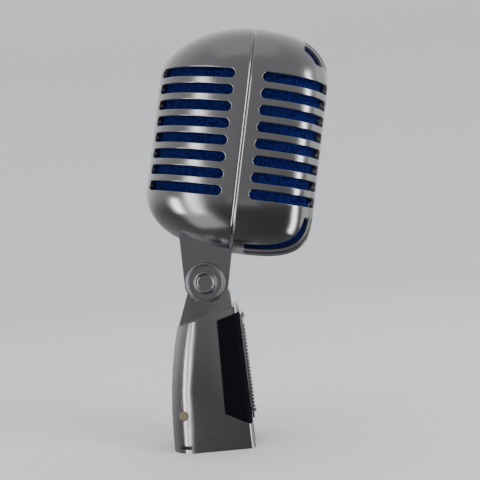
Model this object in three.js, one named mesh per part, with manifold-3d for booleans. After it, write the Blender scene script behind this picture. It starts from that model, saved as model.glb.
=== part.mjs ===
// Ribbon microphone in a slotted die-cast case on a tilting swivel base.
// Millimetres, +Z up, the front faces -Y. The origin is the seat at the blind end of the
// stand thread, on the thread's axis. The base and the head are groups of their own:
// the base group starts at the middle of the base's bottom, the head group at the pivot.
import * as THREE from 'three';
import { mergeVertices } from 'three/addons/utils/BufferGeometryUtils.js';
import Module from 'manifold-3d';

const wasm = await Module();
wasm.setup();

// ---------- driving dimensions ----------
const GAP = 0.3;                       // room between two pieces that lie face to face

// Head: distances from its centre; "seam" is the joint between its front and rear halves.
const TILT_DEG = 12;                   // how far the head leans forward at rest
const HEAD_AHEAD = 7.2;                // head centre in front of the pivot
const HEAD_ABOVE = 67.3;               // head centre above the pivot
const SEAM = 1.9;
const SEAM_GAP = 0.15;                 // half the slit between the two halves
const HEAD_TOP = 53;
const HEAD_BOTTOM = 52.9;
const WALL = 2.4;
const FOAM_GAP = 0.35;
const FOAM_THICK = 4;
const SQUARENESS = { front: 2.8, rear: 1.85 };

// Half sizes of the head, each straight up to a start height and then curved to the pole.
const REACH = {
  front: { size: 37, top: { start: 25, power: 2.6 }, bottom: { start: 29, power: 3.5 } },
  rear: { size: 42.4, top: { start: 25, power: 1.88 }, bottom: { start: 27, power: 2.2 } },
  side: { size: 28, top: { start: 20, power: 2.2 }, bottom: { start: 26, power: 2.4 } },
};

// Horizontal slots in both halves, vertical slots over the front's top and bottom corners.
const SLOT_COUNT = 8;
const SLOT_PITCH = 7.45;
const SLOT_TOP = 26.2;                   // centre of the highest slot
const SLOT_HEIGHT = 4.3;
const SLOT_FROM_SEAM = { front: 5.7, rear: 6.5 };
const BAND = { front: 11, rear: 7 };   // half width of the plain band down the front and rear
// Facets of the head's outer form, and of the surfaces inside its shell.
const OUTER = { sides: 28, domeSteps: 5 };
const INNER = { sides: 20, domeSteps: 4 };
const DOME_FROM = 20;                  // height up to which the head's side is drawn straight

const FIN_SLOTS = [-16.8, -11.2, -5.6, 0, 5.6, 11.2, 16.8];
const FIN_SLOT_WIDTH = 3.9;
const FIN_FROM_SEAM = { low: 6, high: 23 };
const FIN_SLOT_LOW_TOP = -33;
const FIN_SLOT_HIGH_BOTTOM = 36;
const FAR = 60;                        // past the outside of the head

// Shell screws run from the rear half into a cross rib of the front half.
const SHELL_SCREWS = { upper: 37.5, lower: -34 };
const SHELL_SCREW_R = 1.5;
const SHELL_HEAD_R = 2.9;
const RIB_HALF_HEIGHT = 2.1;
const RIB_DEPTH = 4.6;

// Swivel
const PIVOT_AHEAD = 2.8;               // pivot in front of the base's middle
const PIVOT_ABOVE = 76.3;              // pivot above the base's bottom
const BOLT_R = 3;
const NECK_HALF = 8.3;
const NECK_R = 8.8;
const CHEEK_IN = 9.6;
const CHEEK_OUT = 13.8;
const CHEEK_R = 9.7;
const YOKE_ROOF = 11.3;                // underside of the yoke's roof above the pivot
const CAP_R = 9.2;
const YOKE_SCREWS = { front: -4.5, rear: -14 };
const YOKE_SCREW_R = 1.6;
const CABLE_HOLE_R = 1.7;
const CABLE_BEHIND = 2.8;              // cable hole of the head behind the pivot

// Base: "ahead" is measured from the middle of its bottom, "up" from its bottom.
const BASE_HALF = { bottom: 17, top: 15.2 };
const BASE_FRONT = { bottom: 18.9, lean: 0.037 };
const BASE_REAR = { bottom: 18.8, start: 8, curve: 0.00257 };
const REAR_CORNER_R = 11;
const FRONT_CORNER_R = 3;
const LEDGE = { up: 60, slope: 0.289 };
const SEAT_DEPTH = 9.7;
const THREAD_AHEAD = 8.9;
const THREAD_R = 7.6;
const BUSH_R = 8.3;
const SEAT_STEP = 0.8;                 // the seat lies this far above the end of the bush's bore
const XLR_AHEAD = -8.4;
const XLR_R = 7.95;
const XLR_FACE = 12.5;
const XLR_BACK = 19.5;
const PIN_CIRCLE_R = 4.3;
const PIN_R = 1.15;
const COVER_THICK = 2.4;
const PLATE_HALF = 12.5;
const RIDGE_PITCH = 1.6;

// ---------- materials ----------
const metal = (color, roughness) => () =>
  new THREE.MeshStandardMaterial({ color, roughness, metalness: 1 });
const plain = (color, roughness) => () =>
  new THREE.MeshStandardMaterial({ color, roughness, metalness: 0 });

const material = {
  satin: metal(0xb9babc, 0.32),
  dark_satin: metal(0x7b7d80, 0.3),
  foam: plain(0x1c3fb4, 0.95),
  black: plain(0x121216, 0.5),
  steel: metal(0x8b8d90, 0.35),
  magnet: metal(0x4a4c50, 0.45),
  brass: metal(0xb08d4e, 0.35),
  foil: metal(0xdcdde0, 0.25),
  rubber: plain(0x202022, 0.85),
  plastic: plain(0x2c2c30, 0.6),
  copper: metal(0xa86a3c, 0.4),
};

// ---------- solids and booleans ----------
function solidOf(geometry) {
  const bare = geometry.clone();
  bare.deleteAttribute('normal');
  bare.deleteAttribute('uv');
  const merged = mergeVertices(bare, 1e-4);
  const vertProperties = Float32Array.from(merged.attributes.position.array);
  const triVerts = Uint32Array.from(merged.index.array);
  return new wasm.Manifold(new wasm.Mesh({ numProp: 3, vertProperties, triVerts }));
}

function geometryOf(solid) {
  const mesh = solid.getMesh();
  const geometry = new THREE.BufferGeometry();
  geometry.setAttribute('position', new THREE.BufferAttribute(mesh.vertProperties, 3));
  geometry.setIndex(new THREE.BufferAttribute(mesh.triVerts, 1));
  geometry.computeVertexNormals();
  return geometry;
}

const joined = (geometries) =>
  geometryOf(geometries.map(solidOf).reduce((sum, next) => sum.add(next)));
const without = (geometry, tools) =>
  geometryOf(tools.map(solidOf).reduce((rest, tool) => rest.subtract(tool), solidOf(geometry)));
const common = (first, second) => geometryOf(solidOf(first).intersect(solidOf(second)));

// A box between two corners given as [across, ahead, up].
function block(low, high) {
  const size = low.map((value, axis) => high[axis] - value);
  const middle = low.map((value, axis) => (high[axis] + value) / 2);
  const geometry = new THREE.BoxGeometry(size[0], size[1], size[2]);
  geometry.translate(middle[0], -middle[1], middle[2]);
  return geometry;
}

// An upright cylinder at [across, ahead].
function post(radius, across, ahead, low, high, sides = 20) {
  const geometry = new THREE.CylinderGeometry(radius, radius, high - low, sides);
  geometry.rotateX(Math.PI / 2);
  geometry.translate(across, -ahead, (low + high) / 2);
  return geometry;
}

// A cylinder that runs from side to side at [ahead, up].
function axle(radius, low, high, ahead, up, sides = 28) {
  const geometry = new THREE.CylinderGeometry(radius, radius, high - low, sides);
  geometry.rotateZ(Math.PI / 2);
  geometry.translate((low + high) / 2, -ahead, up);
  return geometry;
}

// A cylinder that runs from rear to front at [across, up].
function rod(radius, rear, front, across, up, sides = 16) {
  const geometry = new THREE.CylinderGeometry(radius, radius, front - rear, sides);
  geometry.translate(across, -(rear + front) / 2, up);
  return geometry;
}

// A side-view shape drawn in (ahead, up) and given a width across the object.
function sidePiece(shape, low, high, curveSegments = 10) {
  const geometry = new THREE.ExtrudeGeometry(shape, {
    depth: high - low,
    bevelEnabled: false,
    curveSegments,
  });
  const ahead = new THREE.Vector3(0, -1, 0);
  const up = new THREE.Vector3(0, 0, 1);
  const across = new THREE.Vector3(-1, 0, 0);
  geometry.applyMatrix4(new THREE.Matrix4().makeBasis(ahead, up, across));
  geometry.translate(high, 0, 0);
  return geometry;
}

const outline = (points) => new THREE.Shape(points.map(([x, y]) => new THREE.Vector2(x, y)));

// A closed skin over a stack of rings, each a list of [x, y, z] of the same length.
function loft(rings) {
  const sides = rings[0].length;
  const points = rings.flat();
  const last = rings.length - 1;
  const bottomPole = points.length;
  const topPole = bottomPole + 1;
  const middle = (ring) => [0, 1, 2].map((axis) =>
    ring.reduce((sum, point) => sum + point[axis], 0) / sides);
  points.push(middle(rings[0]), middle(rings[last]));
  const faces = [];
  for (let side = 0; side < sides; side += 1) {
    const next = (side + 1) % sides;
    for (let level = 0; level < last; level += 1) {
      const a = level * sides + side;
      const b = level * sides + next;
      faces.push(a, b, b + sides, a, b + sides, a + sides);
    }
    faces.push(bottomPole, next, side);
    faces.push(topPole, last * sides + side, last * sides + next);
  }
  const geometry = new THREE.BufferGeometry();
  geometry.setAttribute('position', new THREE.Float32BufferAttribute(points.flat(), 3));
  geometry.setIndex(faces);
  return geometry;
}

// ---------- the head's outer form ----------
// Half size at a height, for a surface that lies "inset" inside the outside.
function reach(part, up, inset) {
  const { size, top, bottom } = REACH[part];
  const curve = up >= 0 ? top : bottom;
  const height = (up >= 0 ? HEAD_TOP : HEAD_BOTTOM) - inset;
  const along = Math.max(0, (Math.abs(up) - curve.start) / (height - curve.start));
  const rest = Math.max(0, 1 - Math.min(1, along) ** curve.power);
  return (size - inset) * rest ** (1 / curve.power);
}

function headRing(up, inset, sides) {
  const ring = [];
  for (let step = 0; step < sides; step += 1) {
    const angle = (step / sides) * 2 * Math.PI;
    const forward = Math.cos(angle);
    const across = Math.sin(angle);
    const half = forward >= 0 ? 'front' : 'rear';
    const power = 2 / SQUARENESS[half];
    const ahead = SEAM + Math.sign(forward) * reach(half, up, inset) * Math.abs(forward) ** power;
    ring.push([Math.sign(across) * reach('side', up, inset) * Math.abs(across) ** power, -ahead, up]);
  }
  return ring;
}

function headForm(inset, { sides, domeSteps }) {
  const heights = [];
  const span = { low: HEAD_BOTTOM - inset, high: HEAD_TOP - inset };
  for (let step = domeSteps - 1; step >= 1; step -= 1) {
    heights.push(-DOME_FROM - (span.low - DOME_FROM) * Math.sin((step / domeSteps) * (Math.PI / 2)));
  }
  heights.push(-DOME_FROM, DOME_FROM);
  for (let step = 1; step < domeSteps; step += 1) {
    heights.push(DOME_FROM + (span.high - DOME_FROM) * Math.sin((step / domeSteps) * (Math.PI / 2)));
  }
  const rings = heights.map((up) => headRing(up, inset, sides));
  const solid = loft(rings);
  const points = solid.attributes.position;
  points.setZ(points.count - 2, -span.low);
  points.setZ(points.count - 1, span.high);
  return solid;
}

const FRONT_HALF = block([-FAR, SEAM + SEAM_GAP, -FAR], [FAR, FAR, FAR]);
const REAR_HALF = block([-FAR, -FAR, -FAR], [FAR, SEAM - SEAM_GAP, FAR]);

// One horizontal slot seen from the side, rounded at the end near the seam.
function slotOutline(half, up) {
  const turn = half === 'front' ? 1 : -1;
  const radius = SLOT_HEIGHT / 2;
  const centre = SEAM + turn * (SLOT_FROM_SEAM[half] + radius);
  const shape = new THREE.Shape();
  shape.moveTo(turn * FAR, up - radius);
  shape.lineTo(centre, up - radius);
  shape.absarc(centre, up, radius, -Math.PI / 2, Math.PI / 2, half === 'front');
  shape.lineTo(turn * FAR, up + radius);
  shape.closePath();
  return shape;
}

const slotHeights = Array.from({ length: SLOT_COUNT }, (_, row) => SLOT_TOP - row * SLOT_PITCH);

function finSlots() {
  const half = FIN_SLOT_WIDTH / 2;
  const fromLow = SEAM + FIN_FROM_SEAM.low;
  const fromHigh = SEAM + FIN_FROM_SEAM.high;
  return FIN_SLOTS.flatMap((across) => [
    block([across - half, fromLow, -FAR], [across + half, FAR, FIN_SLOT_LOW_TOP]),
    block([across - half, fromHigh, FIN_SLOT_HIGH_BOTTOM], [across + half, FAR, FAR]),
  ]);
}

const slotPair = (half, up) => [
  sidePiece(slotOutline(half, up), BAND[half], FAR, 4),
  sidePiece(slotOutline(half, up), -FAR, -BAND[half], 4),
];

const crossRib = (up, room) => block(
  [-reach('side', up, 1.2), SEAM + SEAM_GAP - room, up - RIB_HALF_HEIGHT - room],
  [reach('side', up, 1.2), SEAM + SEAM_GAP + RIB_DEPTH + room, up + RIB_HALF_HEIGHT + room],
);

const rearWall = (up) => SEAM - reach('rear', up, 0);

function frontShell() {
  const outside = headForm(0, OUTER);
  const skin = common(without(outside, [headForm(WALL, INNER)]), FRONT_HALF);
  const ribs = Object.values(SHELL_SCREWS).map((up) => crossRib(up, 0));
  const whole = joined([skin, ...ribs]);
  const slots = slotHeights.flatMap((up) => slotPair('front', up));
  const screwHoles = Object.values(SHELL_SCREWS).map((up) =>
    rod(SHELL_SCREW_R + GAP, SEAM - 2, SEAM + 20, 0, up, 12));
  return without(whole, [...slots, ...finSlots(), ...screwHoles]);
}

function rearShell() {
  const outside = headForm(0, OUTER);
  const skin = common(without(outside, [headForm(WALL, INNER)]), REAR_HALF);
  const bosses = Object.values(SHELL_SCREWS).map((up) =>
    common(rod(4.8, rearWall(up) - 3, rearWall(up) + 6.5, 0, up, 16), outside));
  const whole = joined([skin, ...bosses]);
  const slots = slotHeights.flatMap((up) => slotPair('rear', up));
  const screwHoles = Object.values(SHELL_SCREWS).flatMap((up) => [
    rod(SHELL_SCREW_R + GAP, rearWall(up) - 2, rearWall(up) + 12, 0, up, 12),
    rod(SHELL_HEAD_R + GAP, rearWall(up) - 5, rearWall(up) + 4, 0, up, 16),
  ]);
  const yokeHoles = Object.values(YOKE_SCREWS).map((ahead) =>
    post(YOKE_SCREW_R + GAP, 0, ahead, -FAR, -40, 12));
  const cableHole = post(CABLE_HOLE_R, 0, -HEAD_AHEAD - CABLE_BEHIND, -FAR, -40, 12);
  return without(whole, [...slots, ...screwHoles, ...yokeHoles, cableHole]);
}

function shellScrew(up) {
  const head = rod(SHELL_HEAD_R, rearWall(up) + 1.6, rearWall(up) + 3.6, 0, up, 16);
  const shank = rod(SHELL_SCREW_R, rearWall(up) + 3.5, SEAM + RIB_DEPTH - 1, 0, up, 12);
  return joined([head, shank]);
}

function foamLiner(half) {
  const inset = WALL + FOAM_GAP;
  const skin = without(headForm(inset, INNER), [headForm(inset + FOAM_THICK, INNER)]);
  if (half === 'front') {
    const room = Object.values(SHELL_SCREWS).map((up) => crossRib(up, GAP));
    return without(common(skin, block([-FAR, SEAM + 0.5, -FAR], [FAR, FAR, FAR])), room);
  }
  const bosses = Object.values(SHELL_SCREWS).map((up) =>
    rod(4.8 + GAP, rearWall(up) - 3, SEAM, 0, up, 12));
  const posts = Object.values(YOKE_SCREWS).map((ahead) => post(4.2, 0, ahead, -FAR, -38, 12));
  const cableHole = post(2.4, 0, -HEAD_AHEAD - CABLE_BEHIND, -FAR, -38, 8);
  return without(
    common(skin, block([-FAR, -FAR, -FAR], [FAR, SEAM - 0.5, FAR])),
    [...bosses, ...posts, cableHole],
  );
}

// ---------- inside the head ----------
const POST_TOP = -39.3;
const CHASSIS = { low: -39, high: -36.5, half: 10.8, rear: -14.2, front: 13.6 };
const MOUNT = { low: -36.2, high: -31.7, radius: 3.2, half: 8.2 };
const SHELF = { low: -31.4, high: -29.4, half: 12, rear: -21, front: 14 };
const MAGNET = { low: -20, high: 26, inner: 6.3, outer: 14.3, half: 6 };
const POLE_RING = { outer: 18.2, inner: 14.6, low: -29.1, high: 30.2 };
const RIBBON = { half: 2.2, low: -19.5, high: 25.5, fold: 1.1, swing: 0.5, thick: 0.4 };
const CLAMP = { half: 5.9, tall: 4.4 };
const CORE = { half: 10, low: -29.1, high: -11, rear: -19.4, front: -11.4 };
const WINDOW = { inner: 3.2, outer: 7, low: -25.5, high: -14.6 };

function standPost(ahead) {
  const tube = post(3.4, 0, ahead, -45, POST_TOP, 16);
  return without(tube, [post(YOKE_SCREW_R + GAP, 0, ahead, -50, -41, 12)]);
}

function chassisPlate() {
  const plate = block([-CHASSIS.half, CHASSIS.rear, CHASSIS.low],
    [CHASSIS.half, CHASSIS.front, CHASSIS.high]);
  return without(plate, [post(2, -5.1, -7.5, -50, -30, 12)]);
}

function poleFrame() {
  const outer = block([-POLE_RING.outer, -MAGNET.half, POLE_RING.low + 4.5],
    [POLE_RING.outer, MAGNET.half, POLE_RING.high]);
  const window = block(
    [-POLE_RING.inner, -MAGNET.half - 1, MAGNET.low - GAP],
    [POLE_RING.inner, MAGNET.half + 1, MAGNET.high + GAP],
  );
  const foot = block([-7, -MAGNET.half, POLE_RING.low], [7, MAGNET.half, POLE_RING.low + 5]);
  return without(joined([outer, foot]), [window]);
}

function ribbonFoil() {
  const count = Math.round((RIBBON.high - RIBBON.low) / RIBBON.fold);
  const step = (RIBBON.high - RIBBON.low) / count;
  const front = [];
  for (let fold = 0; fold <= count; fold += 1) {
    const flat = fold < 5 || fold > count - 5;
    const swing = flat ? 0 : RIBBON.swing * (fold % 2 === 0 ? 1 : -1);
    front.push([swing, RIBBON.low + fold * step]);
  }
  const back = front.map(([ahead, up]) => [ahead + RIBBON.thick, up]).reverse();
  return sidePiece(outline([...front, ...back]), -RIBBON.half, RIBBON.half);
}

const clampHoles = (low) => [-4, 4].map((across) => rod(1.1, -6, 6, across, low + CLAMP.tall / 2, 10));

function clampBlock(low) {
  const body = block([-CLAMP.half, -4, low], [CLAMP.half, -0.3, low + CLAMP.tall]);
  return without(body, clampHoles(low));
}

function clampBar(low) {
  const body = block([-CLAMP.half, 0.7, low + 0.4], [CLAMP.half, 2.4, low + CLAMP.tall - 0.4]);
  return without(body, clampHoles(low));
}

function clampScrew(low, across) {
  const up = low + CLAMP.tall / 2;
  return joined([rod(0.8, -3.4, 2.8, across, up, 8), rod(1.5, 2.7, 3.7, across, up, 10)]);
}

function transformerCore() {
  const core = block([-CORE.half, CORE.rear, CORE.low], [CORE.half, CORE.front, CORE.high]);
  const windows = [-1, 1].map((side) => block(
    [Math.min(side * WINDOW.inner, side * WINDOW.outer), CORE.rear - 1, WINDOW.low],
    [Math.max(side * WINDOW.inner, side * WINDOW.outer), CORE.front + 1, WINDOW.high],
  ));
  return without(core, windows);
}

function transformerCoil() {
  const outer = block([-WINDOW.outer + GAP, CORE.rear - 2.2, WINDOW.low + GAP],
    [WINDOW.outer - GAP, CORE.front + 2.2, WINDOW.high - GAP]);
  const limb = block([-WINDOW.inner - GAP, CORE.rear - GAP, WINDOW.low - 1],
    [WINDOW.inner + GAP, CORE.front + GAP, WINDOW.high + 1]);
  return without(outer, [limb]);
}

// A round lead through hand-chosen points given as [across, ahead, up].
function lead(points, radius) {
  const path = new THREE.CatmullRomCurve3(
    points.map(([across, ahead, up]) => new THREE.Vector3(across, -ahead, up)),
  );
  const section = new THREE.Shape().absarc(0, 0, radius, 0, 2 * Math.PI);
  return new THREE.ExtrudeGeometry(section, {
    steps: 12,
    curveSegments: 4,
    extrudePath: path,
    bevelEnabled: false,
  });
}

// ---------- the swivel ----------
// The yoke is drawn from the pivot: "ahead" and "up" are measured from it.
function cheekOutline() {
  const shape = new THREE.Shape();
  shape.moveTo(-14.4, 24);
  shape.lineTo(-14.4, 19.2);
  shape.lineTo(-9.2, -3);
  shape.absarc(0, 0, CHEEK_R, Math.PI * 1.1, Math.PI * 1.93, false);
  shape.lineTo(10.4, -1.4);
  shape.lineTo(10.1, 24);
  shape.closePath();
  return shape;
}

function yokeRoom() {
  const shape = new THREE.Shape();
  shape.moveTo(-20, -20);
  shape.lineTo(20, -20);
  shape.lineTo(20, 5.2);
  shape.lineTo(8, 5.2);
  shape.quadraticCurveTo(7.6, YOKE_ROOF, 3, YOKE_ROOF);
  shape.lineTo(-20, YOKE_ROOF);
  shape.closePath();
  return shape;
}

function swivelYoke() {
  const body = sidePiece(cheekOutline(), -CHEEK_OUT, CHEEK_OUT, 14);
  const room = sidePiece(yokeRoom(), -CHEEK_IN, CHEEK_IN, 6);
  const head = headForm(-GAP, OUTER);
  head.translate(0, -HEAD_AHEAD, HEAD_ABOVE);
  const bolt = axle(BOLT_R + GAP, -20, 20, 0, 0, 24);
  const screws = Object.values(YOKE_SCREWS).map((ahead) =>
    post(YOKE_SCREW_R + GAP, 0, HEAD_AHEAD + ahead, 0, 40, 12));
  const cable = post(CABLE_HOLE_R, 0, -CABLE_BEHIND, 0, 40, 12);
  return without(body, [room, head, bolt, ...screws, cable]);
}

function yokeScrew(ahead) {
  const at = HEAD_AHEAD + ahead;
  const roofTop = HEAD_ABOVE - 42;
  return joined([
    post(YOKE_SCREW_R, 0, at, YOKE_ROOF - 0.5, roofTop, 10),
    post(2.2, 0, at, YOKE_ROOF - 1.6, YOKE_ROOF - 0.4, 12),
  ]);
}

// Stepped round cap: a rolled rim, a flat dish, a boss and the end of the bolt in it.
function pivotCap(side) {
  const profile = [
    [0, 0], [CAP_R, 0], [CAP_R, 1.5], [8.8, 2.3], [8.2, 2.5], [7.8, 2.2], [7.6, 1.6],
    [5.3, 1.6], [5, 2.7], [4.4, 3], [3.7, 2.8], [3.4, 2.2], [0, 2.2],
  ].map(([radius, out]) => new THREE.Vector2(radius, out));
  const geometry = new THREE.LatheGeometry(profile, 24);
  geometry.rotateZ(-Math.PI / 2);
  if (side < 0) geometry.rotateY(Math.PI);
  geometry.translate(side * (CHEEK_OUT + GAP), 0, 0);
  return geometry;
}

function washer(side) {
  const middle = side * (NECK_HALF + CHEEK_IN) / 2;
  return without(axle(7.8, middle - 0.35, middle + 0.35, 0, 0, 24), [axle(3.4, -20, 20, 0, 0, 16)]);
}

// ---------- the base ----------
const baseFront = (up) => BASE_FRONT.bottom - BASE_FRONT.lean * up;
const baseRear = (up) => -BASE_REAR.bottom + BASE_REAR.curve * Math.max(0, up - BASE_REAR.start) ** 2;
const baseHalf = (up) => BASE_HALF.bottom + (BASE_HALF.top - BASE_HALF.bottom) * (up / 65);

// A level ring of the base: sharp-ish corners at the front, broad ones at the rear.
function baseRing(up, inset) {
  const half = baseHalf(up) - inset;
  const corners = [
    { across: half, ahead: baseFront(up) - inset, radius: FRONT_CORNER_R - inset / 3, turn: 0, steps: 3 },
    { across: -half, ahead: baseFront(up) - inset, radius: FRONT_CORNER_R - inset / 3, turn: 1, steps: 3 },
    { across: -half, ahead: baseRear(up) + inset, radius: REAR_CORNER_R - inset, turn: 2, steps: 7 },
    { across: half, ahead: baseRear(up) + inset, radius: REAR_CORNER_R - inset, turn: 3, steps: 7 },
  ];
  const ring = [];
  for (const { across, ahead, radius, turn, steps } of corners) {
    const centreX = across - Math.sign(across) * radius;
    const centreY = -(ahead - (turn < 2 ? radius : -radius));
    for (let step = 0; step <= steps; step += 1) {
      const angle = -(turn + step / steps) * (Math.PI / 2);
      ring.push([centreX + radius * Math.cos(angle), centreY + radius * Math.sin(angle), up]);
    }
  }
  return ring.reverse();
}

function baseForm(inset, low, high) {
  const levels = [low];
  for (let up = 8; up < high; up += 10) {
    if (up > low) levels.push(up);
  }
  levels.push(high);
  return loft(levels.map((up) => baseRing(up, inset)));
}

const underLedge = () => sidePiece(outline([
  [-40, -5], [40, -5], [40, LEDGE.up + 40 * LEDGE.slope], [-40, LEDGE.up - 40 * LEDGE.slope],
]), -30, 30);

function neckOutline() {
  const shape = new THREE.Shape();
  shape.moveTo(-12.7, 50);
  shape.lineTo(14.4, 50);
  shape.lineTo(13.3, PIVOT_ABOVE - 6);
  shape.lineTo(PIVOT_AHEAD + NECK_R * 0.98, PIVOT_ABOVE - 1.8);
  shape.absarc(PIVOT_AHEAD, PIVOT_ABOVE, NECK_R, -0.2, Math.PI * 1.1, false);
  shape.lineTo(-11.3, 58);
  shape.closePath();
  return shape;
}

// The thicker middle of the neck, which ends below the sweep of the yoke's cheeks.
const TONGUE = { half: 10.8, rear: -2.2, front: 10.6, top: PIVOT_ABOVE - 10.8 };

const COVER = {
  top: (ahead) => 56.5 + LEDGE.slope * ahead,
  bottom: (ahead) => 20.2 - 0.515 * ahead,
  rear: 6.5,
};

const coverRegion = (room) => sidePiece(outline([
  [COVER.rear - room, COVER.bottom(COVER.rear) - room],
  [30, Math.max(COVER.bottom(30), 4) - room],
  [30, COVER.top(30) + room],
  [COVER.rear - room, COVER.top(COVER.rear) + room],
]), -30, 30);

// The cover is a U around the front of the base's core.
function frontCover() {
  const full = common(baseForm(0, 0, 70), coverRegion(0));
  const lowest = block([-30, -30, -5], [30, 30, SEAT_DEPTH + 0.9]);
  return without(full, [baseForm(COVER_THICK, -5, 75), lowest]);
}

function baseHousing() {
  const body = common(baseForm(0, 0, 70), underLedge());
  const neck = common(sidePiece(neckOutline(), -NECK_HALF, NECK_HALF, 14), baseFormTall());
  const tongue = block([-TONGUE.half, TONGUE.rear, 50], [TONGUE.half, TONGUE.front, TONGUE.top]);
  const core = baseForm(COVER_THICK + GAP, -5, 75);
  const lowest = block([-30, -30, -5], [30, 30, SEAT_DEPTH + 0.6]);
  const recess = without(coverRegion(GAP), [core, lowest]);
  const cavity = block([-10, -9.5, 19], [10, 11, 50]);
  const threadBore = joined([
    post(BUSH_R + GAP, 0, THREAD_AHEAD, -5, SEAT_DEPTH - SEAT_STEP, 32),
    post(THREAD_R - 0.1, 0, THREAD_AHEAD, -5, SEAT_DEPTH, 32),
  ]);
  const socketBore = post(XLR_R, 0, XLR_AHEAD, -5, XLR_BACK + 3, 32);
  const bolt = axle(BOLT_R + GAP, -20, 20, PIVOT_AHEAD, PIVOT_ABOVE, 24);
  const cable = post(CABLE_HOLE_R, 0, -3.2, 49, 90, 12);
  const screwHead = axle(SET_SCREW.headR + GAP, -30, SET_SCREW.seat, SET_SCREW.ahead, SET_SCREW.up, 16);
  const screwHole = axle(SET_SCREW.radius + GAP, -30, 0, SET_SCREW.ahead, SET_SCREW.up, 12);
  const keySlot = block([-30, -15, 1.7], [-10, -9.7, 3.4]);
  return without(joined([body, neck, tongue]), [
    recess, cavity, threadBore, socketBore, bolt, cable, screwHead, screwHole, keySlot,
  ]);
}

// The base's form carried on upwards, which trims the rear of the neck to the same curve.
const baseFormTall = () => baseForm(0, 45, 90);

const SET_SCREW = { ahead: -12.4, up: 16.8, radius: 1.1, headR: 2, seat: -14 };

function setScrew() {
  const head = axle(SET_SCREW.headR, SET_SCREW.seat - 1.5, SET_SCREW.seat - GAP, SET_SCREW.ahead,
    SET_SCREW.up, 16);
  const shank = axle(SET_SCREW.radius, SET_SCREW.seat - 1, -7.4, SET_SCREW.ahead, SET_SCREW.up, 10);
  return joined([head, shank]);
}

const pinPlaces = [0, 1, 2].map((index) => {
  const angle = (index * 2 * Math.PI) / 3 + Math.PI / 2;
  return [PIN_CIRCLE_R * Math.cos(angle), XLR_AHEAD + PIN_CIRCLE_R * Math.sin(angle)];
});

function socketInsert() {
  const disc = post(XLR_R - 0.35, 0, XLR_AHEAD, XLR_FACE, XLR_BACK, 28);
  return without(disc, pinPlaces.map(([across, ahead]) => post(PIN_R + GAP, across, ahead, 0, 30, 10)));
}

function threadBush() {
  return without(post(BUSH_R, 0, THREAD_AHEAD, 0.5, SEAT_DEPTH - SEAT_STEP - GAP, 32),
    [post(THREAD_R, 0, THREAD_AHEAD, -5, 20, 32)]);
}

// Plate with level ridges down the front of the cover, plain at both ends.
const PLATE = { low: 12.6, high: 60.4, end: 3.2, thick: 0.9, ridge: 0.8 };

function ridgedPlate() {
  const face = (up) => baseFront(up) + GAP;
  const front = [[face(PLATE.low) + PLATE.thick, PLATE.low]];
  const count = Math.floor((PLATE.high - PLATE.low - 2 * PLATE.end) / RIDGE_PITCH);
  for (let index = 0; index < count; index += 1) {
    const up = PLATE.low + PLATE.end + index * RIDGE_PITCH;
    front.push([face(up) + PLATE.thick, up]);
    front.push([face(up) + PLATE.thick + PLATE.ridge, up + RIDGE_PITCH * 0.25]);
    front.push([face(up) + PLATE.thick + PLATE.ridge, up + RIDGE_PITCH * 0.7]);
    front.push([face(up) + PLATE.thick, up + RIDGE_PITCH * 0.95]);
  }
  front.push([face(PLATE.high) + PLATE.thick, PLATE.high]);
  const back = [[face(PLATE.high), PLATE.high], [face(PLATE.low), PLATE.low]];
  const plate = sidePiece(outline([...front, ...back]), -PLATE_HALF, PLATE_HALF);
  return without(plate, plateScrewHeights.map((up) => rod(1.3, 10, 30, 0, up, 10)));
}

const plateScrewHeights = [PLATE.low + PLATE.end / 2, PLATE.high - PLATE.end / 2];

function plateScrew(up) {
  const face = baseFront(up) + GAP + PLATE.thick;
  const dome = new THREE.LatheGeometry(
    [[0, 0], [1.7, 0], [1.5, 0.6], [0.8, 1], [0, 1.1]].map(([r, h]) => new THREE.Vector2(r, h)), 12);
  dome.rotateX(Math.PI);
  dome.translate(0, -(face + 0.2), up);
  return joined([dome, rod(1, face - 1.1, face + 0.4, 0, up, 8)]);
}

// ---------- assembly ----------
function piece(name, geometry, look) {
  const mesh = new THREE.Mesh(geometry, material[look]());
  mesh.name = name;
  return mesh;
}

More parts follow.
